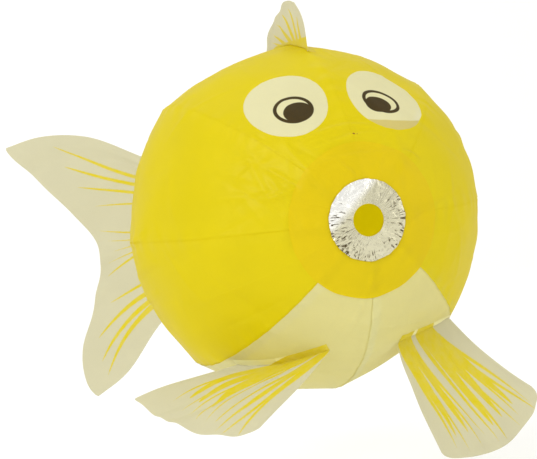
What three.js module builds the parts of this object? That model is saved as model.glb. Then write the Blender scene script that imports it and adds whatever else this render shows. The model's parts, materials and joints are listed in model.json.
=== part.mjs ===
// A round paper balloon in the shape of a fish, in millimetres, +Z up.
// Eight paper gores meet at a blow hole, the mouth, which faces -Y. The fish's left is +X.
// The origin is the centre of the balloon. Fins of thin paper hinge on glued folds.

import * as THREE from 'three';

// ---- the balloon ----
const GORES = 8;
const BALLOON_RADIUS = 75.8; // to the seams, square to the mouth axis
const GORE_FLATNESS = 0.42; // 0 is a round section, 1 is a straight-sided octagon
const POLE_FLAT = 73.6; // distance from the centre to the flat end at each pole
const PAPER = 0.8; // modelled thickness of one sheet
const LAYER_GAP = 0.45; // clearance between two pasted layers
const SEAM_GAP = 0.3; // clearance between neighbouring gores
const GORE_HOLE_RADIUS = 6.7;
const GORE_TAIL_RADIUS = 3.2; // the gores' rear points stop here, under the tail disc
const GORE_COLUMNS = 6;
const GORE_ROWS = 16;
const GORE_ANGLE = (2 * Math.PI) / GORES;

// ---- the round patches ----
const BLOW_HOLE_RADIUS = 6.1;
const FOIL_RADIUS = 15.8;
const MOUTH_DISC_RADIUS = 30.5;
const TAIL_DISC_RADIUS = 24;
const TAIL_DISC_HOLE = 1; // a pinhole, where the rings of the mesh close up
const DISC_ROWS = 4;
const FOIL_ROWS = 2;

// ---- the fins and their glued folds ----
const FOLD_HEIGHT = 2.6; // of each fold line above the balloon's paper
const BLADE_START = 1; // from the fold line to the blade
const TAB_WIDTH = 4;
const TAB_ROWS = 2;
const DORSAL_SPAN = [-30, 27]; // of the dorsal fin's lower edge, along Y
const DORSAL_TAB_SPAN = [-24, 22]; // along Y
const TAIL_ROOT_HALF = 14; // half the height of the tail's fold
const TAIL_SPLAY = THREE.MathUtils.degToRad(50); // from straight back, towards the fish's right
const FIN_BULGE = 8; // how far a pectoral fin's outer end bows out
const FIN_COLUMNS = 12;
const FIN_ROWS = 8;

// Where each pectoral fold runs: turn about the mouth axis from +X, and angle from the mouth.
// Then the two outer corners of the fin as it hangs.
const PECTORAL_FINS = {
  left: {
    front: { turn: 287.5, polar: 50.3 },
    back: { turn: 314.5, polar: 66.5 },
    frontCorner: [28, -54, -102.5],
    backCorner: [83.5, -36.5, -86],
  },
  right: {
    front: { turn: 253.5, polar: 45 },
    back: { turn: 229, polar: 68 },
    frontCorner: [-57, -76, -72.5],
    backCorner: [-95, -44.5, -57],
  },
};

// ---- paper colours ----
const YELLOW = 0xdfc820;
const CREAM = 0xddcf88;
const FIN_CREAM = 0xddd5a8;
const SILVER = 0xc9c6b4;

const paper = (color) => new THREE.MeshStandardMaterial({ color, roughness: 0.6, metalness: 0 });
const foil = new THREE.MeshStandardMaterial({ color: SILVER, roughness: 0.3, metalness: 1 });

const fish = new THREE.Group();

function addPiece(name, geometry, material) {
  const mesh = new THREE.Mesh(geometry, material);
  mesh.name = name;
  fish.add(mesh);
  return mesh;
}

// ---- surfaces ----

// The section square to the mouth axis is an octagon softened towards a circle.
function sectionFactor(turn) {
  const fromSeam = THREE.MathUtils.euclideanModulo(turn, GORE_ANGLE);
  const fromMiddle = fromSeam - GORE_ANGLE / 2;
  const straightSide = Math.cos(GORE_ANGLE / 2) / Math.cos(fromMiddle);
  return 1 - GORE_FLATNESS * (1 - straightSide);
}

// A point of the balloon's skin, raised by lift: turn is about the mouth axis, polar from the mouth.
function skinPoint(turn, polar, lift) {
  const reach = BALLOON_RADIUS + lift;
  const end = POLE_FLAT + lift;
  const across = reach * Math.sin(polar) * sectionFactor(turn);
  const forward = THREE.MathUtils.clamp(reach * Math.cos(polar), -end, end);
  return new THREE.Vector3(across * Math.cos(turn), -forward, across * Math.sin(turn));
}

// The polar angle at which the skin lies at this radius from the mouth axis, on the front half.
function polarAt(turn, radius, lift) {
  return Math.asin(radius / ((BALLOON_RADIUS + lift) * sectionFactor(turn)));
}

// A closed thin solid between two faces. point(u, v, side) is on the inner face at side 0 and
// on the outer face at side 1. A wrapped sheet joins its last column to its first.
function sheetSolid(point, columns, rows, wrapped = false) {
  const across = wrapped ? columns : columns + 1;
  const positions = [];
  for (const side of [0, 1]) {
    for (let row = 0; row <= rows; row += 1) {
      for (let column = 0; column < across; column += 1) {
        positions.push(...point(column / columns, row / rows, side).toArray());
      }
    }
  }
  const face = across * (rows + 1);
  const at = (column, row, side) => side * face + row * across + (column % across);
  const index = [];
  const quad = (a, b, c, d) => index.push(a, b, c, a, c, d);
  for (let row = 0; row < rows; row += 1) {
    for (let column = 0; column < columns; column += 1) {
      const corners = [
        [column, row],
        [column + 1, row],
        [column + 1, row + 1],
        [column, row + 1],
      ];
      quad(...corners.map(([c, r]) => at(c, r, 1)));
      quad(...corners.reverse().map(([c, r]) => at(c, r, 0)));
    }
  }
  for (let column = 0; column < columns; column += 1) {
    quad(at(column, 0, 0), at(column + 1, 0, 0), at(column + 1, 0, 1), at(column, 0, 1));
    quad(at(column, rows, 1), at(column + 1, rows, 1), at(column + 1, rows, 0), at(column, rows, 0));
  }
  if (!wrapped) {
    for (let row = 0; row < rows; row += 1) {
      quad(at(0, row, 1), at(0, row + 1, 1), at(0, row + 1, 0), at(0, row, 0));
      quad(at(columns, row, 0), at(columns, row + 1, 0), at(columns, row + 1, 1), at(columns, row, 1));
    }
  }
  return facingOut(positions, index);
}

// Turns every face round if the solid came out inside out.
function facingOut(positions, index) {
  const corner = (i) => new THREE.Vector3().fromArray(positions, 3 * index[i]);
  let volume = 0;
  for (let i = 0; i < index.length; i += 3) {
    volume += corner(i).dot(corner(i + 1).cross(corner(i + 2)));
  }
  const faces = volume < 0 ? index.slice().reverse() : index;
  const geometry = new THREE.BufferGeometry();
  geometry.setAttribute('position', new THREE.Float32BufferAttribute(positions, 3));
  geometry.setIndex(faces);
  geometry.computeVertexNormals();
  return geometry;
}

// ---- gores ----

// Anticlockwise from the fish's left, seen from in front of the mouth.
const GORE_NAMES = [
  'gore_upper_left',
  'gore_top_left',
  'gore_top_right',
  'gore_upper_right',
  'gore_lower_right',
  'gore_belly_right',
  'gore_belly_left',
  'gore_lower_left',
];

function goreGeometry(number) {
  const from = polarAt(GORE_ANGLE / 2, GORE_HOLE_RADIUS, 0);
  const to = Math.PI - polarAt(GORE_ANGLE / 2, GORE_TAIL_RADIUS, 0);
  const point = (u, v, side) => {
    const polar = THREE.MathUtils.lerp(from, to, v);
    const margin = SEAM_GAP / 2 / (BALLOON_RADIUS * Math.sin(polar));
    const turn = number * GORE_ANGLE + THREE.MathUtils.lerp(margin, GORE_ANGLE - margin, u);
    return skinPoint(turn, polar, (side - 1) * PAPER);
  };
  return sheetSolid(point, GORE_COLUMNS, GORE_ROWS);
}

GORE_NAMES.forEach((name, number) => {
  addPiece(name, goreGeometry(number), paper(name.includes('belly') ? CREAM : YELLOW));
});

// ---- round patches at the two poles ----

// A ring between two radii from the mouth axis, lying on the skin at the given lift: on the front,
// round the mouth, or on the rear.
function ringGeometry(inner, outer, lift, rows, rear = false) {
  const point = (u, v, side) => {
    const turn = u * 2 * Math.PI;
    const height = lift + side * PAPER;
    const polar = polarAt(turn, THREE.MathUtils.lerp(inner, outer, v), height);
    return skinPoint(turn, rear ? Math.PI - polar : polar, height);
  };
  return sheetSolid(point, GORES * GORE_COLUMNS, rows, true);
}

const discLift = LAYER_GAP;
const foilLift = discLift + PAPER + LAYER_GAP;
const mouthDisc = ringGeometry(BLOW_HOLE_RADIUS, MOUTH_DISC_RADIUS, discLift, DISC_ROWS);
const foilRing = ringGeometry(BLOW_HOLE_RADIUS, FOIL_RADIUS, foilLift, FOIL_ROWS);
const tailDisc = ringGeometry(TAIL_DISC_HOLE, TAIL_DISC_RADIUS, discLift, DISC_ROWS, true);
addPiece('mouth_disc', mouthDisc, paper(YELLOW));
addPiece('foil_ring', foilRing, foil);
addPiece('tail_disc', tailDisc, paper(YELLOW));

// ---- pectoral fins ----

const direction = ({ turn, polar }) => {
  const [a, b] = [turn, polar].map(THREE.MathUtils.degToRad);
  return new THREE.Vector3(Math.sin(b) * Math.cos(a), -Math.cos(b), Math.sin(b) * Math.sin(a));
};

function skinAlong(ray, lift) {
  const turn = Math.atan2(ray.z, ray.x);
  const polar = Math.acos(-ray.y / ray.length());
  return skinPoint(turn, polar, lift);
}

// A glued tab: a strip beside the fold, on the side that faces up and forward.
function pectoralTabGeometry({ front, back }) {
  const [start, end] = [direction(front), direction(back)];
  const outward = start.clone().add(end).normalize();
  const sideways = outward.clone().cross(end.clone().sub(start)).normalize();
  if (sideways.z < 0) sideways.negate();
  const point = (u, v, side) => {
    const ray = start.clone().lerp(end, u).normalize();
    ray.addScaledVector(sideways, (v * TAB_WIDTH) / BALLOON_RADIUS);
    return skinAlong(ray, LAYER_GAP + side * PAPER);
  };
  return sheetSolid(point, FIN_COLUMNS, TAB_ROWS);
}

// The straight fold line: at its middle it stands FOLD_HEIGHT off the skin, and further at its ends.
function foldLine({ front, back }) {
  const [start, end] = [direction(front), direction(back)];
  const outward = start.clone().add(end).normalize();
  const along = end.clone().sub(start);
  const half = (along.length() * BALLOON_RADIUS) / 2;
  along.normalize();
  const middle = skinAlong(outward, 0).addScaledVector(outward, FOLD_HEIGHT);
  return [-half, half].map((distance) => middle.clone().addScaledVector(along, distance));
}

// A blade spans from its fold to its two outer corners, and bows out along its outer end.
function pectoralGeometry(fin) {
  const [rootFront, rootBack] = foldLine(fin);
  const tipFront = new THREE.Vector3(...fin.frontCorner);
  const tipBack = new THREE.Vector3(...fin.backCorner);
  const rootMiddle = rootFront.clone().lerp(rootBack, 0.5);
  const outward = tipFront.clone().lerp(tipBack, 0.5).sub(rootMiddle).normalize();
  const thickness = tipBack.clone().sub(rootFront).cross(tipFront.clone().sub(rootBack)).normalize();
  const point = (u, v, side) => {
    const root = rootFront.clone().lerp(rootBack, u).addScaledVector(outward, BLADE_START);
    const bulge = FIN_BULGE * 4 * u * (1 - u); // a parabola: none at the corners, full at the middle
    const tip = tipFront.clone().lerp(tipBack, u).addScaledVector(outward, bulge);
    return root.lerp(tip, v).addScaledVector(thickness, (side - 0.5) * PAPER);
  };
  return sheetSolid(point, FIN_COLUMNS, FIN_ROWS);
}

for (const [side, fin] of Object.entries(PECTORAL_FINS)) {
  addPiece(`pectoral_tab_${side}`, pectoralTabGeometry(fin), paper(YELLOW));
  addPiece(`pectoral_fin_${side}`, pectoralGeometry(fin), paper(FIN_CREAM));
}

// ---- dorsal fin, on the top seam ----

// Its outline in the mid-plane: the shape's x is world Y, and its y is world Z.
function dorsalGeometry() {
  const bottom = BALLOON_RADIUS + FOLD_HEIGHT - BLADE_START;
  const onSkin = (y) => Math.sqrt(bottom ** 2 - y ** 2);
  const [front, back] = DORSAL_SPAN;
  const shape = new THREE.Shape();
  shape.moveTo(front, onSkin(front));
  shape.splineThru([
    new THREE.Vector2(front, 81),
    new THREE.Vector2(-22, 91),
    new THREE.Vector2(-7, 93),
    new THREE.Vector2(8, 88.5),
    new THREE.Vector2(20, 82.5),
    new THREE.Vector2(back, onSkin(back)),
  ]);
  shape.absarc(0, 0, bottom, Math.atan2(onSkin(back), back), Math.atan2(onSkin(front), front), false);
  const geometry = new THREE.ExtrudeGeometry(shape, { depth: PAPER, bevelEnabled: false, curveSegments: 6 });
  geometry.translate(0, 0, -PAPER / 2);
  geometry.rotateX(Math.PI / 2);
  geometry.rotateZ(Math.PI / 2);
  return geometry;
}

function dorsalTabGeometry() {
  const start = Math.PI / 2 - Math.asin(-DORSAL_TAB_SPAN[0] / BALLOON_RADIUS);
  const end = Math.PI / 2 + Math.asin(DORSAL_TAB_SPAN[1] / BALLOON_RADIUS);
  const [near, far] = [PAPER, PAPER + TAB_WIDTH].map((x) => Math.PI / 2 - x / BALLOON_RADIUS);
  const point = (u, v, side) => {
    const polar = THREE.MathUtils.lerp(start, end, u);
    return skinPoint(THREE.MathUtils.lerp(near, far, v), polar, LAYER_GAP + side * PAPER);
  };
  return sheetSolid(point, FIN_COLUMNS, TAB_ROWS);
}

addPiece('dorsal_tab', dorsalTabGeometry(), paper(YELLOW));
addPiece('dorsal_fin', dorsalGeometry(), paper(FIN_CREAM));

// ---- tail, on the tail disc ----

const tabBack = POLE_FLAT + discLift + PAPER + LAYER_GAP;
const tailFoldY = tabBack + PAPER + BLADE_START;

// Its outline in its own plane: x runs away from the fold, and y is world Z.
function tailGeometry() {
  const shape = new THREE.Shape();
  shape.moveTo(BLADE_START, TAIL_ROOT_HALF);
  shape.splineThru([
    new THREE.Vector2(28, 22),
    new THREE.Vector2(56, 36),
    new THREE.Vector2(84, 48.5),
    new THREE.Vector2(112, 51.5),
    new THREE.Vector2(134, 48),
  ]);
  shape.splineThru([
    new THREE.Vector2(116, 30),
    new THREE.Vector2(98, 11),
    new THREE.Vector2(85.5, -11),
    new THREE.Vector2(92.5, -33),
    new THREE.Vector2(102, -56),
    new THREE.Vector2(102, -76),
    new THREE.Vector2(96, -84),
  ]);
  shape.splineThru([
    new THREE.Vector2(79, -72.5),
    new THREE.Vector2(57, -49.5),
    new THREE.Vector2(28, -25),
    new THREE.Vector2(BLADE_START, -TAIL_ROOT_HALF),
  ]);
  const geometry = new THREE.ExtrudeGeometry(shape, { depth: PAPER, bevelEnabled: false, curveSegments: 4 });
  geometry.translate(0, 0, -PAPER / 2);
  geometry.rotateX(Math.PI / 2);
  return geometry;
}

const tail = addPiece('tail_fin', tailGeometry(), paper(FIN_CREAM));
tail.position.y = tailFoldY;
tail.rotation.z = Math.PI / 2 + TAIL_SPLAY;

const tailTab = new THREE.BoxGeometry(TAB_WIDTH, PAPER, 2 * TAIL_ROOT_HALF);
addPiece('tail_tab', tailTab, paper(YELLOW)).position.set(TAB_WIDTH / 2, tabBack + PAPER / 2, 0);

export default fish;
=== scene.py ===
"""A round paper balloon in the shape of a fish: eight pasted gores of thin glassine, a foil patch
round the blow hole, which is the mouth, printed eyes, and four paper fins. Metres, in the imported
model's frame: -Y out of the mouth, +Z up, +X the fish's left."""

import json
import math

import bpy
import numpy as np
from mathutils import Matrix, Vector


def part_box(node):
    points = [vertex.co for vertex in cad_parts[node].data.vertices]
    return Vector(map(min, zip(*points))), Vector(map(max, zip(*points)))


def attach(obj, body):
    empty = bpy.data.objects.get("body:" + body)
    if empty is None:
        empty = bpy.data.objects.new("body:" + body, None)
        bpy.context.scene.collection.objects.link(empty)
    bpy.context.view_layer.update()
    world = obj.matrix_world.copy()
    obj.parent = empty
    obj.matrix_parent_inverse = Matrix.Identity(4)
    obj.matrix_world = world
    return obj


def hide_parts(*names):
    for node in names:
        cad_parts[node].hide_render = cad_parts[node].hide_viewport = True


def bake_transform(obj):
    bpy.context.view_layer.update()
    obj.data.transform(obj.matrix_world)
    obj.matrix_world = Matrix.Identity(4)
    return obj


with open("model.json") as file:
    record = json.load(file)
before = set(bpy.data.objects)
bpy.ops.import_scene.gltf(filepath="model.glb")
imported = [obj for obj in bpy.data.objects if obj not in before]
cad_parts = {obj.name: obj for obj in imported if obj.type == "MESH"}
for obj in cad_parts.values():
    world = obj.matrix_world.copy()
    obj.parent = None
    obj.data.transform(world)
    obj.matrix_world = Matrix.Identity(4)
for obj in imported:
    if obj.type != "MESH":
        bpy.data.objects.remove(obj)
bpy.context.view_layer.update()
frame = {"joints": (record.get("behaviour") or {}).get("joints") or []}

# ---------------------------------------------------------------- sizes

MM = 0.001
SEAM_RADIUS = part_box("gore_upper_left")[1].x
FOIL_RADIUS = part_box("foil_ring")[1].x
MOUTH_DISC_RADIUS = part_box("mouth_disc")[1].x
TAIL_DISC_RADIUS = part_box("tail_disc")[1].x
POLE_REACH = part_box("gore_upper_left")[1].y + 1.5 * MM  # front and back are pressed a little flat
POLE_SOFTNESS = 0.9 * MM
BLOW_HOLE_RADIUS = 6.3 * MM
GORE_HOLE_RADIUS = 6.9 * MM
GORE_TAIL_RADIUS = 3.4 * MM
PINHOLE_RADIUS = 0.3 * MM  # at the middle of the tail disc
LAP = 3.6 * MM  # width of the glued lap along each seam
LAP_BLUR = 1.2 * MM
SHEET = 0.3 * MM  # from one pasted layer to the next
TAB_WIDTH = 4 * MM

GORES = 8
GORE_ANGLE = 2 * math.pi / GORES

# For each gore, how straight its paper lies between its seams: 0 is round and 1 is a chord.
STRAIGHTNESS = np.array([0.0, 0.38, 0.40, 0.32, 0.28, 0.28, 0.68, 0.15])
# For each seam, how far it stands out of the seam radius, as a share of it.
SEAM_SWELL = np.array([-0.018, -0.008, -0.012, 0.010, 0.014, 0.030, -0.021, -0.012])
# The sines of the polar angles between which a gore goes from round, at the poles, to its own shape.
ROUND_WITHIN, SHAPED_FROM = 0.3, 0.75


# ---------------------------------------------------------------- the balloon's surface


def directions(turn, polar):
    """Unit vectors: turn is about the mouth axis from +X, polar is from the mouth, in radians."""
    turn, polar = np.broadcast_arrays(turn, polar)
    return np.stack(
        [np.sin(polar) * np.cos(turn), -np.cos(polar), np.sin(polar) * np.sin(turn)], axis=-1
    )


def direction_at(turn, polar):
    """The same for one place, in degrees."""
    return directions(math.radians(turn), math.radians(polar))


def angles(points):
    """(turn, polar) of points, as seen from the balloon's centre."""
    turn = np.arctan2(points[..., 2], points[..., 0]) % (2 * math.pi)
    return turn, np.arctan2(np.hypot(points[..., 0], points[..., 2]), -points[..., 1])


def waves(points, wavelength, seed, count=18):
    """Smooth noise, mostly from -1 to 1: a sum of plane waves of random directions."""
    random = np.random.default_rng(seed)
    total = np.zeros(points.shape[:-1])
    for _ in range(count):
        heading = random.normal(size=3)
        heading *= 2 * math.pi / (np.linalg.norm(heading) * wavelength * random.uniform(0.7, 1.5))
        total += np.cos(points @ heading + random.uniform(0, 2 * math.pi))
    return total / math.sqrt(count)


def creases(points, spacing, width, seed, count=7):
    """Straight folds in random directions, each running only where a noise of its own allows."""
    random = np.random.default_rng(seed)
    total = np.zeros(points.shape[:-1])
    for index in range(count):
        heading = random.normal(size=3)
        heading /= np.linalg.norm(heading)
        offset = (points @ heading / spacing + random.uniform()) % 1 - 0.5
        line = np.exp(-((offset * spacing / width) ** 2))
        allowed = np.clip(waves(points, 2.2 * spacing, seed * 31 + index, 10) * 1.6 - 0.3, 0, 1)
        total += random.choice([-1.0, 1.0]) * line * allowed
    return total


# Folds that the paper took when the balloon lay flat: (turn, polar) of both ends in degrees, then
# the bow of the line, the height and the half width of the fold, in millimetres.
FOLDS = [
    ((122, 31), (73, 30), 2.0, 0.798, 1.3),
    ((118, 26), (69, 28), 1.0, 0.646, 1.2),
    ((126, 22.5), (38, 27.7), 1.5, 0.475, 1.5),
    ((110, 19.7), (98.7, 13.5), 0.0, 0.418, 0.9),
    ((53, 24.7), (36, 26.3), 0.5, 0.475, 1.1),
    ((162, 33.5), (148, 24), -1.0, 0.76, 1.3),
    ((157, 42), (139, 36), 1.0, 0.532, 1.2),
    ((176, 77), (181, 98), 1.0, 0.57, 1.6),
    ((186, 74), (193, 100), -1.0, 0.532, 1.8),
    ((196, 80), (201, 104), 0.5, 0.475, 1.6),
    ((20, 60), (28, 96), 1.5, 0.57, 1.8),
    ((65, 120), (112, 132), -2.0, 0.665, 1.6),
    ((215, 118), (150, 126), 2.0, 0.665, 1.6),
    ((330, 110), (20, 128), 1.5, 0.57, 1.6),
]
CRUMPLE_CENTRE = direction_at(146, 33)
CRUMPLE_REACH = 20 * MM

# Heights, in millimetres, of what makes the paper uneven.
BROAD_SWELL = 0.45
SMALL_SWELL = 0.17
PUCKER = 0.16  # across a glued seam
RIDGE = 0.16  # the seam itself
MIDDLE_FOLD = 0.16  # each gore is sold folded along its middle
FINE_CREASE = 0.22
CRUMPLE = 0.62
PUCKER_RADIAN = 1.35 * MM  # along the seam, for each radian of the puckers' wave
CALM_SINE = 0.30  # nearer the poles than this, the patches hold the paper calm
LEAST_CALM = 0.12


def folded(points):
    """Height of the named folds at points on the skin: a crest beside a dip."""
    height = np.zeros(points.shape[:-1])
    for start, end, bow, rise, half_width in FOLDS:
        a, b = direction_at(*start), direction_at(*end)
        run = b - a
        across = np.cross(a, b) / np.linalg.norm(np.cross(a, b))
        along = (points / SEAM_RADIUS - a) @ run / (run @ run)
        within = np.clip(along * (1 - along) * 4, 0, 1) ** 0.5 * (points @ (a + b) > 0)
        side = (points @ across / MM - bow * within**2) / half_width
        height += rise * MM * within * (np.exp(-(side**2)) - 0.6 * np.exp(-((side - 1.6) ** 2)))
    return height


def relief(turn, polar):
    """How far the paper stands off its smooth shape."""
    points = directions(turn, polar) * SEAM_RADIUS
    share = (turn / GORE_ANGLE) % 1
    ring = SEAM_RADIUS * np.sin(polar)
    to_seam = np.minimum(share, 1 - share) * GORE_ANGLE * ring
    to_middle = np.abs(share - 0.5) * GORE_ANGLE * ring
    seam = np.round(turn / GORE_ANGLE) % GORES
    broad = BROAD_SWELL * waves(points, 48 * MM, 11) + SMALL_SWELL * waves(points, 17 * MM, 12)
    beat = SEAM_RADIUS * polar / PUCKER_RADIAN + 1.7 * seam + 1.6 * waves(points, 30 * MM, 13)
    pucker = PUCKER * np.sin(beat) * np.exp(-((to_seam / (5 * MM)) ** 2))
    ridge = RIDGE * np.exp(-((to_seam / (1.6 * MM)) ** 2))
    patchy = 0.5 + 0.5 * waves(points, 40 * MM, 14)
    middle_fold = MIDDLE_FOLD * patchy * np.exp(-((to_middle / (1.1 * MM)) ** 2))
    fine = FINE_CREASE * creases(points, 34 * MM, 1.1 * MM, 15)
    off_centre = np.linalg.norm(points / SEAM_RADIUS - CRUMPLE_CENTRE, axis=-1) * SEAM_RADIUS
    in_crumple = np.exp(-((off_centre / CRUMPLE_REACH) ** 2))
    crumple = CRUMPLE * creases(points, 13 * MM, 1.2 * MM, 16, 9) * in_crumple
    calm = np.clip(np.sin(polar) / CALM_SINE, LEAST_CALM, 1)
    return MM * (calm * (broad + pucker + middle_fold + fine + crumple) + ridge) + folded(points)


def skin(turn, polar, lift=0.0):
    """Points of the balloon's paper, raised by lift."""
    turn, polar = np.broadcast_arrays(np.asarray(turn, float), np.asarray(polar, float))
    place = (turn / GORE_ANGLE) % GORES
    number = np.floor(place).astype(int) % GORES
    share = place - np.floor(place)
    chord = math.cos(GORE_ANGLE / 2) / np.cos((share - 0.5) * GORE_ANGLE)
    swell = (1 - share) * SEAM_SWELL[number] + share * SEAM_SWELL[(number + 1) % GORES]
    away = np.clip((np.sin(polar) - ROUND_WITHIN) / (SHAPED_FROM - ROUND_WITHIN), 0, 1)
    straight = STRAIGHTNESS[number] * away * away * (3 - 2 * away)
    section = 1 - straight * (1 - chord) + swell * np.sin(polar) ** 2
    raised = relief(turn, polar) + lift
    across = (SEAM_RADIUS * section + raised) * np.sin(polar)
    forward = (SEAM_RADIUS + raised) * np.cos(polar)
    end = POLE_REACH + raised
    short = end - POLE_SOFTNESS * np.logaddexp(0, (end - np.abs(forward)) / POLE_SOFTNESS)
    return np.stack(
        [across * np.cos(turn), -np.sign(forward) * short, across * np.sin(turn)], axis=-1
    )


# ---------------------------------------------------------------- meshes

scene = bpy.context.scene


def sheet_piece(name, points, material, maps=None, wrapped=False, turned=False):
    """A smooth sheet through a grid of points, rows by columns. maps holds a flat place for each
    point, by the name that a material calls it."""
    rows, columns = points.shape[:2]
    index = np.arange(rows * columns).reshape(rows, columns)
    if wrapped:
        index = np.concatenate([index, index[:, :1]], axis=1)
    quads = np.stack([index[:-1, :-1], index[1:, :-1], index[1:, 1:], index[:-1, 1:]], axis=-1)
    quads = quads.reshape(-1, 4)
    if turned:
        quads = quads[:, ::-1]
    mesh = bpy.data.meshes.new(name)
    mesh.from_pydata(points.reshape(-1, 3).tolist(), [], quads.tolist())
    mesh.polygons.foreach_set("use_smooth", [True] * len(mesh.polygons))
    corner = np.empty(len(mesh.loops), int)
    mesh.loops.foreach_get("vertex_index", corner)
    for key, flat in (maps or {}).items():
        layer = mesh.uv_layers.new(name=key)
        layer.data.foreach_set("uv", flat.reshape(-1, 2)[corner].astype(np.float32).ravel())
    mesh.materials.append(material)
    piece = bpy.data.objects.new(name, mesh)
    scene.collection.objects.link(piece)
    return piece


def grid(columns, rows):
    """u across and v along, from 0 to 1, each rows by columns."""
    return np.meshgrid(np.linspace(0, 1, columns), np.linspace(0, 1, rows))


def curve_through(points):
    """A function from 0..1 to places on a smooth curve through these points, by chord length."""
    points = np.asarray(points, float)
    gaps = np.linalg.norm(np.diff(points, axis=0), axis=1)
    knots = np.concatenate([[0], np.cumsum(gaps)]) / gaps.sum()
    slopes = np.gradient(points, knots, axis=0)

    def at(t):
        before = np.clip(np.searchsorted(knots, t, side="right") - 1, 0, len(knots) - 2)
        span = (knots[before + 1] - knots[before])[..., None]
        s = (t - knots[before])[..., None] / span
        return (
            (2 * s**3 - 3 * s**2 + 1) * points[before]
            + (s**3 - 2 * s**2 + s) * span * slopes[before]
            + (3 * s**2 - 2 * s**3) * points[before + 1]
            + (s**3 - s**2) * span * slopes[before + 1]
        )

    return at


def spanned(u, v, root, tip, front, back):
    """A sheet spanned between four edges, each a function from 0..1 to places."""
    across, along = u[..., None], v[..., None]
    zero, one = np.zeros_like(u), np.ones_like(u)
    ruled = (1 - along) * root(u) + along * tip(u) + (1 - across) * front(v) + across * back(v)
    near = (1 - across) * root(zero) + across * root(one)
    far = (1 - across) * tip(zero) + across * tip(one)
    return ruled - (1 - along) * near - along * far


def rounded_reach(u, front, back):
    """How far along the sheet reaches at u, so that its outer corners are round. front and back
    are each (share of the width, share of the length) of that corner."""
    reach = np.ones_like(u)
    for from_edge, (wide, deep) in ((u, front), (1 - u, back)):
        inside = np.clip(1 - from_edge / wide, 0, 1)
        reach -= deep * (1 - np.sqrt(1 - inside**2))
    return reach


# ---------------------------------------------------------------- shader nodes


def srgb(red, green, blue):
    """A shader colour from 0..255 screen values."""
    channels = [c / 255 for c in (red, green, blue)]
    return tuple(c / 12.92 if c < 0.04045 else ((c + 0.055) / 1.055) ** 2.4 for c in channels) + (1.0,)


class Shader:
    """A material and short calls that add nodes to it. Values are numbers or sockets."""

    def __init__(self, name):
        self.material = bpy.data.materials.new(name)
        self.material.use_nodes = True
        self.nodes = self.material.node_tree.nodes
        self.links = self.material.node_tree.links
        self.nodes.clear()

    def add(self, kind, inputs=(), **settings):
        node = self.nodes.new("ShaderNode" + kind)
        for key, value in settings.items():
            setattr(node, key, value)
        for key, value in dict(inputs).items():
            if isinstance(value, bpy.types.NodeSocket):
                self.links.new(value, node.inputs[key])
            else:
                node.inputs[key].default_value = value
        return node

    def math(self, operation, *values, clamp=False):
        return self.add("Math", enumerate(values), operation=operation, use_clamp=clamp).outputs[0]

    def vector(self, operation, *values):
        node = self.add("VectorMath", enumerate(values), operation=operation)
        return node.outputs["Value" if operation in ("DOT_PRODUCT", "LENGTH") else "Vector"]

    def scaled(self, colour, by):
        if isinstance(colour, tuple):
            colour = colour[:3]
        return self.add("VectorMath", {0: colour, "Scale": by}, operation="SCALE").outputs[0]

    def mix(self, share, below, above):
        """The colour below, painted over by the colour above where share is 1."""
        inputs = {0: share, 6: below, 7: above}  # 6 and 7 are the node's two colours
        return self.add("Mix", inputs, data_type="RGBA").outputs[2]

    def noise(self, place, scale, detail=2.0, roughness=0.5):
        inputs = {"Vector": place, "Scale": scale, "Detail": detail, "Roughness": roughness}
        return self.add("TexNoise", inputs).outputs["Fac"]

    def under(self, value, limit, softness):
        """1 where value is under limit and 0 over it, with a soft edge."""
        slope = -1 / softness
        return self.math("MULTIPLY_ADD", value, slope, 0.5 - limit * slope, clamp=True)

    def place(self):
        return self.add("TexCoord").outputs["Object"]

    def map(self, name):
        """A sheet's own flat places, as one vector and as two numbers."""
        place = self.add("UVMap", uv_map=name).outputs[0]
        node = self.add("SeparateXYZ", {0: place})
        return place, node.outputs[0], node.outputs[1]

    def done(self, surface):
        output = self.add("OutputMaterial")
        self.links.new(surface, output.inputs["Surface"])
        return self.material


# ---------------------------------------------------------------- paper

YELLOW = srgb(227, 211, 6)
DISC_YELLOW = srgb(228, 205, 2)
CREAM = srgb(228, 224, 164)
FIN_CREAM = srgb(203, 198, 166)
RAY_YELLOW = srgb(214, 195, 22)
EYE_WHITE = srgb(231, 230, 196)
BARE_BEIGE = srgb(216, 204, 134)
INK = srgb(70, 58, 30)
SPECK = srgb(150, 100, 20)
# Tab colours: the paper they lie on, painted lighter to cancel the shade where the skin close behind
# blocks the light through them.
TAB_CREAM_PAINTED_LIGHTER = srgb(236, 232, 176)
TAB_YELLOW_PAINTED_LIGHTER = srgb(236, 220, 20)
SEE_THROUGH = 0.42  # share of the paper's light that comes through it
LAP_SEE_THROUGH = 0.345
PATCH_SEE_THROUGH = 0.34
FIN_SEE_THROUGH = 0.45
TAB_SEE_THROUGH = 0.10
GLOSS = 0.2
CLOUDS, CRINKLES, FIBRES = 45, 260, 1400  # to a metre
CLOUD_TONE, FIBRE_TONE = 0.10, 0.05  # how much each changes the paper's brightness
SMOOTHEST, CLOUD_ROUGHNESS = 0.33, 0.25
FIBRE_HEIGHT = 0.25  # beside the crinkles' height


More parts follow.
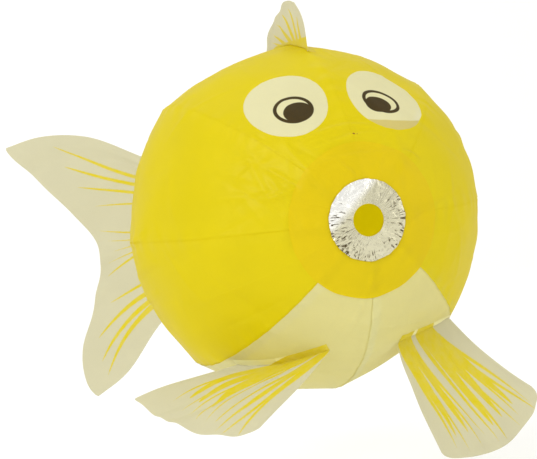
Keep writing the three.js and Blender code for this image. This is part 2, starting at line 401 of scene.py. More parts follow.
def paper(shader, colour, place, see_through):
    """Thin glassine: clouded, with fine fibres, a little shiny, and lit from behind as well."""
    cloud = shader.noise(place, CLOUDS, 3)
    fibre = shader.noise(place, FIBRES, 3, 0.6)
    crinkle = shader.noise(place, CRINKLES, 4, 0.6)
    tone = shader.math("MULTIPLY_ADD", cloud, CLOUD_TONE, 1 - CLOUD_TONE / 2)
    darkest = shader.math("SUBTRACT", tone, FIBRE_TONE / 2)
    tone = shader.math("MULTIPLY_ADD", fibre, FIBRE_TONE, darkest)
    shade = shader.scaled(colour, tone)
    roughness = shader.math("MULTIPLY_ADD", cloud, CLOUD_ROUGHNESS, SMOOTHEST)
    height = shader.math("MULTIPLY_ADD", fibre, FIBRE_HEIGHT, crinkle)
    bump = shader.add("Bump", {"Strength": 0.22, "Distance": 0.35 * MM, "Height": height})
    normal = bump.outputs[0]
    inputs = {"Base Color": shade, "Roughness": roughness, "Normal": normal}
    front = shader.add("BsdfPrincipled", {**inputs, "Specular IOR Level": GLOSS})
    behind = shader.add("BsdfTranslucent", {"Color": shade, "Normal": normal})
    both = shader.add("MixShader", {0: see_through, 1: front.outputs[0], 2: behind.outputs[0]})
    return shader.done(both.outputs[0])


def lap_see_through(shader):
    """Less light comes through where the glued lap lies under the sheet."""
    _, across, _ = shader.map("seam")
    lap = shader.under(across, LAP, LAP_BLUR)
    return shader.math("MULTIPLY_ADD", lap, LAP_SEE_THROUGH - SEE_THROUGH, SEE_THROUGH)


def tangent(turn, polar, tilt):
    """Two unit vectors on the skin at a place: tilt is from the fish's left to away from the mouth."""
    centre = direction_at(turn, polar)
    mouth = np.array([0.0, -1.0, 0.0])
    away = centre * (centre @ mouth) - mouth
    away /= np.linalg.norm(away)
    side = np.cross(away, centre)
    c, s = math.cos(math.radians(tilt)), math.sin(math.radians(tilt))
    return c * side + s * away, c * away - s * side


FAR_OUT = 9.0  # for places on the other side of the balloon


def oval(shader, unit, turn, polar, half_long, half_short, tilt):
    """How far out a place is in a printed oval: 1 is its edge."""
    along, across = tangent(turn, polar, tilt)
    centre = shader.vector("DOT_PRODUCT", unit, tuple(direction_at(turn, polar)))
    x = shader.vector("DOT_PRODUCT", unit, tuple(along * SEAM_RADIUS / (half_long * MM)))
    y = shader.vector("DOT_PRODUCT", unit, tuple(across * SEAM_RADIUS / (half_short * MM)))
    squares = shader.math("MULTIPLY_ADD", x, x, shader.math("MULTIPLY", y, y))
    out = shader.math("SQRT", squares)
    behind = shader.math("LESS_THAN", centre, 0.0)
    return shader.math("MULTIPLY_ADD", behind, FAR_OUT, out)


def dot_of_ink(shader, colour, unit, turn, polar, radius):
    out = oval(shader, unit, turn, polar, radius, radius, 0)
    return shader.mix(shader.under(out, 1, 0.5), colour, SPECK)


RING_LINE = 1.5  # the printed ring's line, in mm
EDGE_WOBBLE = 0.02  # of the white ink's edge, as a share of its radius

# The printed shapes, each (turn, polar, half length, half width, tilt), in degrees and millimetres.
RIGHT_WHITE = (112.2, 45.6, 18.2, 16.1, 100)
RIGHT_RING = (111.4, 41.7, 8.2, 7.3, 145)
RIGHT_PUPIL = (110.5, 40.0, 6.0, 5.2, 164)
LEFT_WHITE = (65.1, 43.5, 17.4, 16.8, 67)
LEFT_RING = (67.5, 40.7, 8.4, 6.4, 4)
LEFT_PUPIL = (69.2, 38.9, 5.7, 4.3, 10)
# The lower edge of the left eye's white ink passes through these places.
WHITE_STOPS = ((71.8, 32.3), (58.2, 34.8), (45.6, 41.3))
SPECKS = ((88.2, 26.4, 0.5), (85.9, 26.2, 0.22))  # (turn, polar, radius)


def eyeball(shader, colour, unit, ring, pupil):
    """The printed ring and the pupil inside it."""
    turn, polar, half_long, half_short, tilt = ring
    outer = oval(shader, unit, *ring)
    inner = oval(shader, unit, turn, polar, half_long - RING_LINE, half_short - RING_LINE, tilt)
    in_line = shader.math("SUBTRACT", shader.under(outer, 1, 0.03), shader.under(inner, 1, 0.03))
    colour = shader.mix(in_line, colour, INK)
    return shader.mix(shader.under(oval(shader, unit, *pupil), 1, 0.04), colour, INK)


def eye_white(shader, unit, shape):
    """1 inside the eye's white ink, whose edge wanders a little."""
    wobble = shader.noise(shader.place(), 300, 2)
    out = shader.math("MULTIPLY_ADD", wobble, EDGE_WOBBLE, oval(shader, unit, *shape))
    return shader.under(out, 1 + EDGE_WOBBLE / 2, 0.015)


def right_eye(shader, colour, unit):
    colour = shader.mix(eye_white(shader, unit, RIGHT_WHITE), colour, EYE_WHITE)
    return eyeball(shader, colour, unit, RIGHT_RING, RIGHT_PUPIL)


def left_eye(shader, colour, unit):
    """Its white ink stops short of the lower edge, and two specks lie below it."""
    a, b, c = (direction_at(*place) for place in WHITE_STOPS)
    square = np.cross(b - a, c - a)
    square /= np.linalg.norm(square)
    height = shader.vector("DOT_PRODUCT", unit, tuple(square))
    past = shader.math("SUBTRACT", height, float(square @ a))
    white = shader.mix(shader.under(past, 0.0, 0.004), EYE_WHITE, BARE_BEIGE)
    colour = shader.mix(eye_white(shader, unit, LEFT_WHITE), colour, white)
    for speck in SPECKS:
        colour = dot_of_ink(shader, colour, unit, *speck)
    return eyeball(shader, colour, unit, LEFT_RING, LEFT_PUPIL)


def body_paper(name, colour, eye=None):
    shader = Shader(name)
    place = shader.place()
    if eye:
        colour = eye(shader, colour, shader.vector("NORMALIZE", place))
    return paper(shader, colour, place, lap_see_through(shader))


def patch_paper(name, colour):
    shader = Shader(name)
    return paper(shader, colour, shader.place(), PATCH_SEE_THROUGH)


# ---------------------------------------------------------------- fins' printed rays


def stroke(shader, place, start, end, bow, wide, slim):
    """How far inside a brush stroke a place is, in mm. The stroke runs from start to end on the flat
    sheet, bows to its left, and thins from one half width at its start to another at its middle."""
    start, run = np.array(start, float), np.subtract(end, start)
    length = np.linalg.norm(run)
    left = np.array([-run[1], run[0]]) / length
    along = shader.vector("DOT_PRODUCT", place, tuple(run / length**2) + (0.0,))
    to_go = shader.math("SUBTRACT", 1 + float(start @ run) / length**2, along)
    rest = shader.math("MAXIMUM", to_go, 0.0)
    arch = shader.math("MULTIPLY", to_go, shader.math("SUBTRACT", 1.0, to_go))  # 1/4 at the middle
    side = shader.vector("DOT_PRODUCT", place, tuple(left) + (0.0,))
    side = shader.math("MULTIPLY_ADD", arch, -4.0 * bow, side)
    off = shader.math("ABSOLUTE", shader.math("SUBTRACT", side, float(start @ left)))
    thin = shader.math("POWER", rest, math.log2(wide / slim))
    return shader.math("SUBTRACT", shader.math("MULTIPLY", thin, wide), off)


BRUSH_SPREAD = 0.5  # how far the bristles roughen a stroke's edge, in mm
INK_RISE = 2.2  # how fast the ink covers the paper inwards from its edge, per mm
THINNEST_INK, INK_CLOUD = 0.72, 0.4


def ray_paper(name, strokes, tab_colour):
    """Cream paper with brushed yellow rays. Its glued tab takes the colour of what it lies on, painted
    lighter to cancel the shade it takes from the skin close behind it.
    """
    shader = Shader(name)
    place, _, _ = shader.map("flat")
    _, pasted, _ = shader.map("pasted")
    in_metres = shader.scaled(place, MM)
    brush = shader.noise(in_metres, 1100, 2)
    inside = None
    for line in strokes:
        depth = stroke(shader, place, *line)
        inside = depth if inside is None else shader.math("MAXIMUM", inside, depth)
    least = shader.math("SUBTRACT", inside, BRUSH_SPREAD / 2)
    inside = shader.math("MULTIPLY_ADD", brush, BRUSH_SPREAD, least)
    ink = shader.math("MULTIPLY", inside, INK_RISE, clamp=True)
    cloud = shader.noise(in_metres, 260, 2)
    thin = shader.math("MULTIPLY_ADD", cloud, INK_CLOUD, THINNEST_INK, clamp=True)
    # On the glued tab, the lighter tab colour is painted, to cancel its shade.
    bare = shader.mix(pasted, FIN_CREAM, tab_colour)
    painted = shader.mix(shader.math("MULTIPLY", ink, thin), bare, RAY_YELLOW)
    to_tab = TAB_SEE_THROUGH - FIN_SEE_THROUGH
    see_through = shader.math("MULTIPLY_ADD", pasted, to_tab, FIN_SEE_THROUGH)
    return paper(shader, painted, in_metres, see_through)


# ---------------------------------------------------------------- foil


FOIL_LIGHT = srgb(216, 211, 184)
FOIL_DULL = srgb(192, 187, 158)
# A painted highlight colour, for the foil's lit side.
FOIL_PAINTED_HIGHLIGHT = srgb(246, 245, 239)
# A painted dark reflection colour, for the crinkles.
FOIL_PAINTED_DARK_REFLECTION = srgb(82, 70, 46)
STREAKS_ROUND = 7.0  # streaks in the noise along the ring, for each of its radians
STREAKS_OUT = 90.0  # and outwards, for each metre
PAINTED_DARK_SHARE = 0.335  # how much of the streaks is painted dark, as dark reflections in the crinkles
MORE_PAINTED_DARK = 0.16  # more painted dark reflection towards the fish's lower right and left
PAINTED_HIGHLIGHT_FROM = 0.52  # of the radius, where the painted highlight begins towards its side


def foil():
    """Thin silver foil on paper, crinkled outwards from the hole. Its upper right carries a painted
    highlight, and its lower right and left carry painted dark reflections in streaks. Sides are the
    fish's."""
    shader = Shader("silver_foil")
    place = shader.place()
    ring = shader.add("SeparateXYZ", {0: place})
    turn = shader.math("ARCTAN2", ring.outputs[2], ring.outputs[0])
    flat = shader.add("CombineXYZ", {0: ring.outputs[0], 1: ring.outputs[2], 2: 0.0}).outputs[0]
    out = shader.vector("LENGTH", flat)
    parts = (
        shader.math("MULTIPLY", shader.math("COSINE", turn), STREAKS_ROUND),
        shader.math("MULTIPLY", shader.math("SINE", turn), STREAKS_ROUND),
        shader.math("MULTIPLY", out, STREAKS_OUT),
    )
    streak = shader.add("CombineXYZ", enumerate(parts)).outputs[0]
    streaks = shader.noise(streak, 3.2, 4, 0.6)
    spots = shader.noise(place, 620, 2)

    def towards(x, z):
        """Along a direction on the ring: 1 at its rim."""
        return shader.vector("DOT_PRODUCT", flat, (x / FOIL_RADIUS, z / FOIL_RADIUS, 0.0))

    # Painted dark reflections: streaks along the crinkles are painted dark, more towards the fish's
    # lower right and left.
    left = shader.math("SUBTRACT", towards(0.97, -0.25), 0.12)
    painted_dark_sides = shader.math("MAXIMUM", towards(-0.75, -0.65), left)
    limit = shader.math("MULTIPLY_ADD", painted_dark_sides, MORE_PAINTED_DARK, PAINTED_DARK_SHARE)
    over = shader.math("SUBTRACT", streaks, limit)
    painted_dark_reflection = shader.math("MULTIPLY", shader.under(over, 0.0, 0.05), shader.under(spots, 0.53, 0.08))
    # Painted highlight: the foil is painted paler towards the fish's upper right, which faces the key
    # light.
    outside_painted_highlight = shader.under(towards(-0.66, 0.75), PAINTED_HIGHLIGHT_FROM, 0.2)
    tone = shader.mix(shader.noise(place, 150, 2), FOIL_LIGHT, FOIL_DULL)
    tone = shader.mix(shader.math("SUBTRACT", 1.0, outside_painted_highlight), tone, FOIL_PAINTED_HIGHLIGHT)
    # Paints the dark reflections over the foil's colour.
    colour = shader.mix(painted_dark_reflection, tone, FOIL_PAINTED_DARK_REFLECTION)
    grain = shader.noise(place, 1800, 2)
    height = shader.math("MULTIPLY_ADD", grain, 0.3, streaks)
    bump = shader.add("Bump", {"Strength": 0.6, "Distance": 0.3 * MM, "Height": height}).outputs[0]
    roughness = shader.math("MULTIPLY_ADD", spots, 0.2, 0.12)
    inputs = {"Base Color": colour, "Metallic": 1.0, "Roughness": roughness, "Normal": bump}
    return shader.done(shader.add("BsdfPrincipled", inputs).outputs[0])


# ---------------------------------------------------------------- gores

GORE_COLUMNS = 56
LAP_COLUMNS = 5
GORE_ROWS = 210
WIDEST_LAP = 0.6  # of a gore's width, near the poles
TUCK_FROM = 0.985  # of a gore's width, where its edge dips under the next gore

yellow_paper = body_paper("yellow_paper", YELLOW)
gore_papers = {
    "gore_top_left": body_paper("yellow_paper_left_eye", YELLOW, left_eye),
    "gore_top_right": body_paper("yellow_paper_right_eye", YELLOW, right_eye),
    "gore_belly_left": body_paper("cream_paper", CREAM),
}
gore_papers["gore_belly_right"] = gore_papers["gore_belly_left"]

GORE_NAMES = [
    "gore_upper_left",
    "gore_top_left",
    "gore_top_right",
    "gore_upper_right",
    "gore_lower_right",
    "gore_belly_right",
    "gore_belly_left",
    "gore_lower_left",
]


def make_gore(number, name):
    """One gore, from seam to seam, with its glued lap tucked under the next gore's edge."""
    first = math.asin(GORE_HOLE_RADIUS / SEAM_RADIUS)
    last = math.pi - math.asin(GORE_TAIL_RADIUS / SEAM_RADIUS)
    across = np.linspace(0, 1, GORE_COLUMNS)
    u, polar = np.meshgrid(across, np.linspace(first, last, GORE_ROWS))
    lap_u = np.linspace(0, 1, LAP_COLUMNS + 1)[1:]
    ring = SEAM_RADIUS * np.sin(polar[:, :1])
    lap_turn = np.minimum(LAP / ring, WIDEST_LAP * GORE_ANGLE) * lap_u
    turn = np.concatenate([u * GORE_ANGLE, GORE_ANGLE + lap_turn], axis=1)
    polar = np.broadcast_to(polar[:, :1], turn.shape)
    tuck = np.clip((turn - TUCK_FROM * GORE_ANGLE) / ((1 - TUCK_FROM) * GORE_ANGLE), 0, 1)
    points = skin(number * GORE_ANGLE + turn, polar, -SHEET * tuck)
    flat = np.stack([turn * ring, polar * SEAM_RADIUS], axis=-1)
    piece = sheet_piece("paper_" + name, points, gore_papers.get(name, yellow_paper), {"seam": flat})
    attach(piece, "balloon")
    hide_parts(name)


for number, name in enumerate(GORE_NAMES):
    make_gore(number, name)


# ---------------------------------------------------------------- round patches


def ring_points(inner, outer, lift, columns, rows, rear=False, wrinkle=None):
    """A ring pasted on the front or rear of the balloon, between two radii from the mouth axis."""
    turn, v = np.meshgrid(np.arange(columns) * 2 * math.pi / columns, np.linspace(0, 1, rows))
    radius = inner + (outer - inner) * v
    if wrinkle:
        radius = radius + 0.12 * MM * v * waves(directions(turn, 1.2), 0.25, 21)
        lift = lift + wrinkle(turn, v)
    polar = np.arcsin(radius / SEAM_RADIUS)
    return skin(turn, math.pi - polar if rear else polar, lift)


def pasted_edge(turn, v):
    """A pasted disc lifts a little here and there along its edge."""
    rim = np.clip((v - 0.8) / 0.2, 0, 1) ** 2
    return 0.22 * MM * rim * np.clip(waves(directions(turn, 1.2), 0.5, 22), 0, 2)


def foil_crinkle(turn, v):
    """Sharp wrinkles that run outwards, wander and fork, deeper towards the rim."""
    ring = np.stack([np.cos(turn), np.sin(turn), v * 0], axis=-1)
    wander = turn + 0.16 * waves(ring * 2.2 + [0, 0, 1.5] * v[..., None], 1.0, 26)
    wide = np.stack([np.cos(wander) * 4, np.sin(wander) * 4, v * 2.0], axis=-1)
    ridged = 1 - np.abs(waves(wide, 1.1, 23, 24))
    fine = 1 - np.abs(waves(wide * [2.6, 2.6, 1.6], 1.1, 24, 24))
    lumps = waves(ring * (0.4 + 0.6 * v[..., None]), 0.9, 25)
    return MM * ((0.17 * ridged + 0.10 * fine) * (0.35 + 0.65 * v) + 0.10 * lumps)


def add_patch(name, node, points, material, rear=False):
    piece = sheet_piece(name, points, material, wrapped=True, turned=rear)
    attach(piece, "balloon")
    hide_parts(node)


disc_paper = patch_paper("disc_paper", DISC_YELLOW)
mouth_points = ring_points(BLOW_HOLE_RADIUS, MOUTH_DISC_RADIUS, SHEET, 240, 40, wrinkle=pasted_edge)
add_patch("mouth_patch", "mouth_disc", mouth_points, disc_paper)
tail_points = ring_points(PINHOLE_RADIUS, TAIL_DISC_RADIUS, SHEET, 200, 36, True, pasted_edge)
add_patch("tail_patch", "tail_disc", tail_points, disc_paper, rear=True)
foil_lift = 2 * SHEET + 0.1 * MM
foil_points = ring_points(BLOW_HOLE_RADIUS, FOIL_RADIUS, foil_lift, 480, 36, wrinkle=foil_crinkle)
add_patch("foil_patch", "foil_ring", foil_points, foil())


# ---------------------------------------------------------------- fins

FIN_COLUMNS = 120
FIN_ROWS = 110
TAB_ROWS = 6
JOINTS = {joint["name"]: joint for joint in frame["joints"]}
TAB_LIFT = 0.8 * SHEET
TAB_EDGE_LIFT = 0.2 * SHEET


def add_fin(name, nodes, tab, blade, material, turned=False):
    """One sheet: the glued tab's rows, then the blade's from its fold outwards. tab and blade take
    (u, v) grids and give places and flat places in mm."""
    u, v = grid(FIN_COLUMNS, FIN_ROWS)
    tab_u, tab_v = grid(FIN_COLUMNS, TAB_ROWS)
    tab_points, tab_flat = tab(tab_u[:-1], 1 - tab_v[:-1])
    blade_points, blade_flat = blade(u, v)
    pasted = np.zeros((TAB_ROWS - 1 + FIN_ROWS, FIN_COLUMNS, 2))
    pasted[: TAB_ROWS - 1] = 1
    maps = {"flat": np.concatenate([tab_flat, blade_flat]), "pasted": pasted}
    piece = sheet_piece(name, np.concatenate([tab_points, blade_points]), material, maps, turned=turned)
    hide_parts(*nodes)
    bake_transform(piece)


def ripples(u, v, folds, height, seed):
    """Soft pleats that fan out from the root, and a loose wave along the outer edge."""
    place = np.stack([u * 3, v * 1.2, u * 0], axis=-1)
    pleats = np.sin(2 * math.pi * folds * u + 2.2 * waves(place, 1.4, seed))
    loose = waves(place, 1.1, seed + 1)
    return height * (0.35 * pleats * np.sqrt(v) + 0.8 * loose * v**1.3)


def bowed(start, end, bow, peak=0.5):
    """A curve from start to end that stands off its chord by at most the vector bow, at peak."""
    most = peak ** (2 * peak) * (1 - peak) ** (2 - 2 * peak)

    def at(t):
        height = np.clip(t, 0, 1) ** (2 * peak) * np.clip(1 - t, 0, 1) ** (2 - 2 * peak) / most
        return start + (end - start) * t[..., None] + bow * height[..., None]

    return at


# Each pectoral fin: (turn, polar) of the front and back ends of its root, its two outer corners in
# millimetres, how far its front and back edges bow forward and its outer edge bows out with the
# place of each peak, how round its corners are, the seed of its ripples, and the strokes of its
# rays: start, end, bow, and half widths at the start and at the middle.
PECTORALS = {
    "left": {
        "front": (287.5, 50.3),
        "back": (314.5, 66.5),
        "front_corner": (28, -54, -102.5),
        "back_corner": (83.5, -36.5, -86),
        "bows": ((2.8, 0.27), (2.5, 0.5), (11.0, 0.52)),
        "corners": ((0.08, 0.05), (0.12, 0.07)),
        "seed": 31,
        "rays": [
            ((-15.5, -3), (-19, 41), -1.6, 3.0, 2.0),
            ((-12.5, -3), (-13, 40), -1.8, 3.0, 2.0),
            ((-17.4, 1), (-22.3, 46), -1.6, 1.5, 1.0),
            ((-15.8, 1), (-17.3, 47), -1.4, 1.5, 1.0),
            ((-12.7, 1), (-11.5, 46.5), -2.0, 1.5, 1.0),
            ((-10.6, 2), (-6.4, 43), -0.2, 1.2, 0.85),
            ((-2, -3), (0, 41), -2.0, 3.6, 2.6),
            ((-0.5, -3), (8, 41), -2.2, 3.8, 2.7),
            ((1, -2), (16, 41), -3.0, 3.4, 2.4),
            ((-5, 2), (-3, 47), -1.2, 1.6, 1.1),
            ((-1.6, 2), (1.5, 48), -2.2, 1.9, 1.4),
            ((0.2, 1), (12.4, 49), -1.2, 1.5, 1.0),
            ((1.5, 1), (15, 46.5), -2.4, 1.5, 1.0),
            ((2.7, 1), (22.5, 50.5), -2.3, 1.5, 1.1),
            ((3.4, 1), (23, 49), -4.4, 1.4, 0.9),
        ],
    },
    "right": {
        "front": (253.5, 45),
        "back": (229, 68),
        "front_corner": (-57, -76, -72.5),
        "back_corner": (-95, -44.5, -57),
        "bows": ((1.5, 0.5), (-1.0, 0.5), (9.5, 0.36)),
        "corners": ((0.12, 0.07), (0.08, 0.05)),
        "seed": 35,
        "rays": [
            ((-13.5, -3.5), (11, 34), -13.0, 3.8, 3.0),
            ((-14.5, -3), (5, 35), -10.5, 3.8, 3.0),
            ((-15.5, -2.5), (-2, 36), -9.6, 3.0, 2.3),
            ((-15, -2.5), (13.5, 40), -15.0, 1.7, 1.2),
            ((-16, -2.3), (5, 43), -11.0, 1.5, 1.1),
            ((-16, -2.3), (1, 44), -9.5, 1.5, 1.0),
            ((-16.5, -2), (-4, 45), -10.0, 1.6, 1.2),
            ((-16.5, -2), (-7.5, 45), -8.4, 1.4, 0.9),
            ((-19, -2), (-14, 38), -3.0, 2.6, 1.8),
            ((-19.5, -1), (-19, 38), -1.8, 2.4, 1.6),
            ((-18.2, -1), (-10.5, 44), -4.5, 1.3, 1.0),
            ((-18.8, 0), (-14.8, 49), -3.4, 1.4, 1.0),
            ((-19.3, 0.4), (-18.2, 51), -2.0, 1.4, 1.0),
            ((-19.7, 0.6), (-22.4, 50), -3.5, 1.4, 1.0),
        ],
    },
}


def add_pectoral(side, fin):
    first, last = direction_at(*fin["front"]), direction_at(*fin["back"])
    corners = [np.array(fin[key]) * MM for key in ("front_corner", "back_corner")]

    def root_direction(u):
        return first + (last - first) * u[..., None]

    def root(u):
        return skin(*angles(root_direction(u)), TAB_LIFT)

    outward = (first + last) / np.linalg.norm(first + last)
    sideways = np.cross(outward, last - first)
    sideways *= np.sign(sideways[2]) / np.linalg.norm(sideways)
    ends = [skin(*angles(end), TAB_LIFT) for end in (first, last)]
    middle = sum(corners) / 2 - sum(ends) / 2
    length = np.linalg.norm(middle)
    middle /= length
    facing = np.cross(corners[1] - ends[0], corners[0] - ends[1])
    facing /= np.linalg.norm(facing)
    forward = np.cross(facing, middle)
    forward *= np.sign(forward @ (first - last))
    widths = [np.linalg.norm(ends[1] - ends[0]), np.linalg.norm(corners[1] - corners[0])]
    (front_bow, front_peak), (back_bow, back_peak), (outer_bow, outer_peak) = fin["bows"]

    def tab(u, v):
        onto = root_direction(u) + sideways * (v * TAB_WIDTH / SEAM_RADIUS)[..., None]
        flat = np.stack([(u - 0.5) * widths[0], -v * TAB_WIDTH], axis=-1)
        return skin(*angles(onto), TAB_LIFT + (TAB_EDGE_LIFT - TAB_LIFT) * v), flat / MM

    def blade(u, v):
        reach = v * rounded_reach(u, *fin["corners"])
        points = spanned(
            u,
            reach,
            root,
            bowed(corners[0], corners[1], middle * outer_bow * MM, outer_peak),
            bowed(ends[0], corners[0], forward * front_bow * MM, front_peak),
            bowed(ends[1], corners[1], forward * back_bow * MM, back_peak),
        )
        width = widths[0] + (widths[1] - widths[0]) * reach
        flat = np.stack([(u - 0.5) * width, reach * length], axis=-1)
        off = ripples(u, v, 5, 1.1 * MM, fin["seed"])
        return points + facing * off[..., None], flat / MM

    add_fin(
        f"pectoral_sheet_{side}",
        (f"pectoral_fin_{side}", f"pectoral_tab_{side}"),
        tab,
        blade,
        ray_paper(f"pectoral_paper_{side}", fin["rays"], TAB_CREAM_PAINTED_LIGHTER),
        turned=side == "left",
    )


for side, fin in PECTORALS.items():
    add_pectoral(side, fin)

# The dorsal fin's outline in the mid-plane, (y, z) in millimetres, and its rays in the same plane.
DORSAL_ROOT = (-30, 27)
DORSAL_FRONT = [(-30, 81), (-22, 91)]
DORSAL_TOP = [(-22, 91), (-7, 93), (8, 88.5), (20, 82.5)]
DORSAL_RAYS = [
    ((-28, 73), (14, 74), 0.0, 3.0, 2.6),
    ((-24, 71), (-22.5, 85), -0.5, 1.9, 1.5),
    ((-19, 72), (-9.5, 90), 2.4, 1.9, 1.3),
    ((-17, 72), (-1, 88.5), 1.3, 1.9, 1.3),
    ((-14.5, 72), (7.5, 85), 1.1, 1.9, 1.2),
    ((-12, 71.5), (13.5, 81.5), 0.0, 1.8, 1.1),
    ((-10, 71.5), (16, 78), 0.3, 1.6, 0.9),
]


def add_dorsal():
    def on_seam(y, x=0.0):
        polar = np.arccos(np.clip(-y * MM / SEAM_RADIUS, -1, 1))
        return skin(math.pi / 2 - x / SEAM_RADIUS, polar, TAB_LIFT)

    def in_plane(points):
        curve = curve_through(points)
        return lambda t: np.concatenate([np.zeros(t.shape + (1,)), curve(t)], axis=-1) * MM

    def root_y(u):
        return DORSAL_ROOT[0] + (DORSAL_ROOT[1] - DORSAL_ROOT[0]) * u

    def root_end(u):
        point = on_seam(root_y(u)) / MM
        return (point[1], point[2])

    def tab(u, v):
        y = root_y(u)
        return on_seam(y, v * TAB_WIDTH), np.stack([y, SEAM_RADIUS / MM - v * TAB_WIDTH / MM], axis=-1)

    def blade(u, v):
        reach = v * rounded_reach(u, (0.10, 0.06), (0.12, 0.2))
        front = in_plane([root_end(0.0)] + DORSAL_FRONT)
        back = in_plane([root_end(1.0), DORSAL_TOP[-1]])
        points = spanned(u, reach, lambda t: on_seam(root_y(t)), in_plane(DORSAL_TOP), front, back)
        flat = points[..., 1:] / MM
        sway = ripples(u, v, 4, 0.8 * MM, 41) + 1.2 * MM * v**2 * np.sin(math.pi * u)
        return points + np.array([1.0, 0, 0]) * sway[..., None], flat

    add_fin(
        "dorsal_sheet",
        ("dorsal_fin", "dorsal_tab"),
        tab,
        blade,
        ray_paper("dorsal_paper", DORSAL_RAYS, TAB_YELLOW_PAINTED_LIGHTER),
    )


add_dorsal()

# The tail's outline in its own plane, millimetres away from the fold and height, and its rays.
TAIL_TOP = [(0, 14), (28, 22), (56, 36), (84, 48.5), (112, 51.5), (134, 48)]
TAIL_END = [
    *((134, 48), (116, 30), (98, 11), (85.5, -11)),
    *((92.5, -33), (102.5, -58), (102, -76), (97, -83)),
]
TAIL_BOTTOM = [(0, -14), (28, -25), (57, -49.5), (79, -72.5), (97, -83)]
TAIL_SPLAY = math.radians(50)  # from straight back towards the fish's right
TAIL_LEAVES_SKIN = 9  # how far from the fold, in mm, the blade is clear of the skin's shape
TAIL_RAYS = [
    ((5, 8), (64, 24), -1.0, 4.0, 2.6),
    ((5, -8), (66, -43), 0.0, 4.4, 3.0),
    ((5, 0), (44, -2), 0.0, 9.0, 5.0),
    ((8, 10), (104, 46), -3.0, 1.5, 1.15),
    ((8, 8.5), (99, 35), -1.5, 1.5, 1.2),
    ((8, 7), (92, 24), 0.5, 1.5, 1.15),
    ((8, 5), (84, 13.5), 2.0, 1.2, 0.9),
    ((8, 1), (85, 1), -3.0, 1.2, 0.9),
    ((8, -1), (80, -4.5), -2.0, 1.1, 0.8),
    ((8, -2), (77, -10), 1.0, 1.1, 0.8),
    ((8, -3.5), (82, -16), 3.0, 1.2, 0.85),
    ((8, -5), (83, -22.5), 6.5, 1.4, 1.1),
    ((8, -6.5), (84, -36), 0.3, 1.5, 1.15),
    ((46, -27.5), (92, -53), 3.6, 1.7, 1.3),
    ((46, -30.5), (91.5, -65), 4.6, 1.7, 1.3),
    ((43, -32), (89, -72), 5.9, 1.7, 1.3),
]


def add_tail():
    away = np.array([-math.sin(TAIL_SPLAY), math.cos(TAIL_SPLAY), 0])
    facing = np.array([-math.cos(TAIL_SPLAY), -math.sin(TAIL_SPLAY), 0])
    hinge = Vector(JOINTS["tail_fold"]["pos_m"])
    root_half = TAIL_TOP[0][1]

    def on_disc(x, z):
        turn = np.arctan2(z, x)
        return skin(turn, math.pi - np.arcsin(np.hypot(x, z) / SEAM_RADIUS), SHEET + TAB_LIFT)

    def tab(u, v):
        x, z = v * TAB_WIDTH / MM, root_half * (1 - 2 * u)
        return on_disc(x * MM, z * MM), np.stack([-x, z], axis=-1)

    def blade(u, v):
        reach = v * rounded_reach(u, (0.04, 0.012), (0.05, 0.012))
        root = curve_through([TAIL_TOP[0], TAIL_BOTTOM[0]])
        edges = [curve_through(edge) for edge in (TAIL_END, TAIL_TOP, TAIL_BOTTOM)]
        flat = spanned(u, reach, root, *edges)
        near = np.clip(flat[..., 0] / TAIL_LEAVES_SKIN, 0, 1)
        near = near * near * (3 - 2 * near)
        on_skin = on_disc(0 * u, np.clip(flat[..., 1], -root_half, root_half) * MM)
        base = on_skin[..., 1] + (hinge.y - on_skin[..., 1]) * near
        wave = ripples(u, v, 5, 2.0 * MM, 51) + 3 * MM * np.sin(math.pi * v)
        points = np.stack([0 * u, base, flat[..., 1] * MM], axis=-1)
        return points + away * flat[..., :1] * MM + facing * wave[..., None], flat

    add_fin(
        "tail_sheet",
        ("tail_fin", "tail_tab"),
        tab,
        blade,
        ray_paper("tail_paper", TAIL_RAYS, TAB_YELLOW_PAINTED_LIGHTER),
    )


add_tail()


# ---------------------------------------------------------------- stage, light and camera

FLOOR_DEPTH = 0.16  # the balloon is held in the air, with its fins clear of the floor


def backdrop():
    """A pale floor that curves up into a wall behind the balloon."""
    radius, back, height, half_width = 0.5, 1.6, 2.4, 3.0
    profile = [(-2.5, 0.0), (0.0, 0.0), (back - radius, 0.0)]
    bend = np.linspace(0, math.pi / 2, 24)[1:]
    profile += [(back - radius + radius * math.sin(a), radius * (1 - math.cos(a))) for a in bend]
    profile.append((back, height))
    points = [[(x, y, z - FLOOR_DEPTH) for x in (-half_width, half_width)] for y, z in profile]
    shader = Shader("backdrop_paper")
    tone = shader.math("MULTIPLY_ADD", shader.noise(shader.place(), 3, 2), 0.02, 0.97)
    colour = shader.scaled(srgb(255, 255, 253)[:3], tone)
    inputs = {"Base Color": colour, "Roughness": 0.9, "Specular IOR Level": 0.1}
    surface = shader.add("BsdfPrincipled", inputs)
    piece = sheet_piece("backdrop", np.array(points), shader.done(surface.outputs[0]), turned=True)


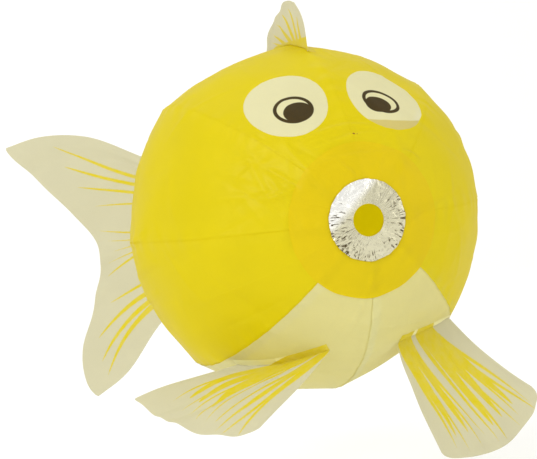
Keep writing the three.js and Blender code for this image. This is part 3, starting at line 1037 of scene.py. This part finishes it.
def softbox(name, place, size, power):
    """A soft rectangular light at a place, turned to the balloon. Metres and watts."""
    light = bpy.data.lights.new(name, "AREA")
    light.shape = "RECTANGLE"
    light.size, light.size_y = size
    light.energy = power
    lamp = bpy.data.objects.new(name, light)
    lamp.location = place
    lamp.rotation_mode = "QUATERNION"
    lamp.rotation_quaternion = (-Vector(place)).to_track_quat("-Z", "Y")
    scene.collection.objects.link(lamp)


def studio():
    world = bpy.data.worlds.new("studio")
    world.use_nodes = True
    background = world.node_tree.nodes["Background"]
    background.inputs["Color"].default_value = (1.0, 0.995, 0.98, 1)
    background.inputs["Strength"].default_value = 0.87
    scene.world = world
    softbox("key", (-1.1, -1.0, 1.0), (0.7, 0.6), 12.5)
    softbox("fill", (1.3, -0.9, 0.5), (1.0, 1.0), 3)
    softbox("top", (0.1, 0.5, 1.5), (1.4, 1.0), 3)
    scene.view_settings.view_transform = "Standard"


# The camera looks slightly down at the fish's right front, and the fish leans to its right.
CAMERA_AZIMUTH = math.radians(-18.8)
CAMERA_ELEVATION = math.radians(3.1)
CAMERA_ROLL = math.radians(7.2)
CAMERA_DISTANCE = 0.65
CAMERA_LENS = 100.5
CAMERA_SHIFT = (-0.068, -0.0214)


def place_camera():
    c, s = math.cos(CAMERA_ELEVATION), math.sin(CAMERA_ELEVATION)
    back = Vector((math.sin(CAMERA_AZIMUTH) * c, -math.cos(CAMERA_AZIMUTH) * c, s))
    right = Vector((math.cos(CAMERA_AZIMUTH), math.sin(CAMERA_AZIMUTH), 0))
    up = back.cross(right)
    leaning = Matrix((right, up, back)).transposed() @ Matrix.Rotation(-CAMERA_ROLL, 3, "Z")
    data = bpy.data.cameras.new("camera")
    data.sensor_width = 36
    data.lens = CAMERA_LENS
    data.shift_x, data.shift_y = CAMERA_SHIFT
    camera = bpy.data.objects.new("camera", data)
    camera.matrix_world = Matrix.Translation(back * CAMERA_DISTANCE) @ leaning.to_4x4()
    scene.collection.objects.link(camera)
    scene.camera = camera


backdrop()
studio()
place_camera()
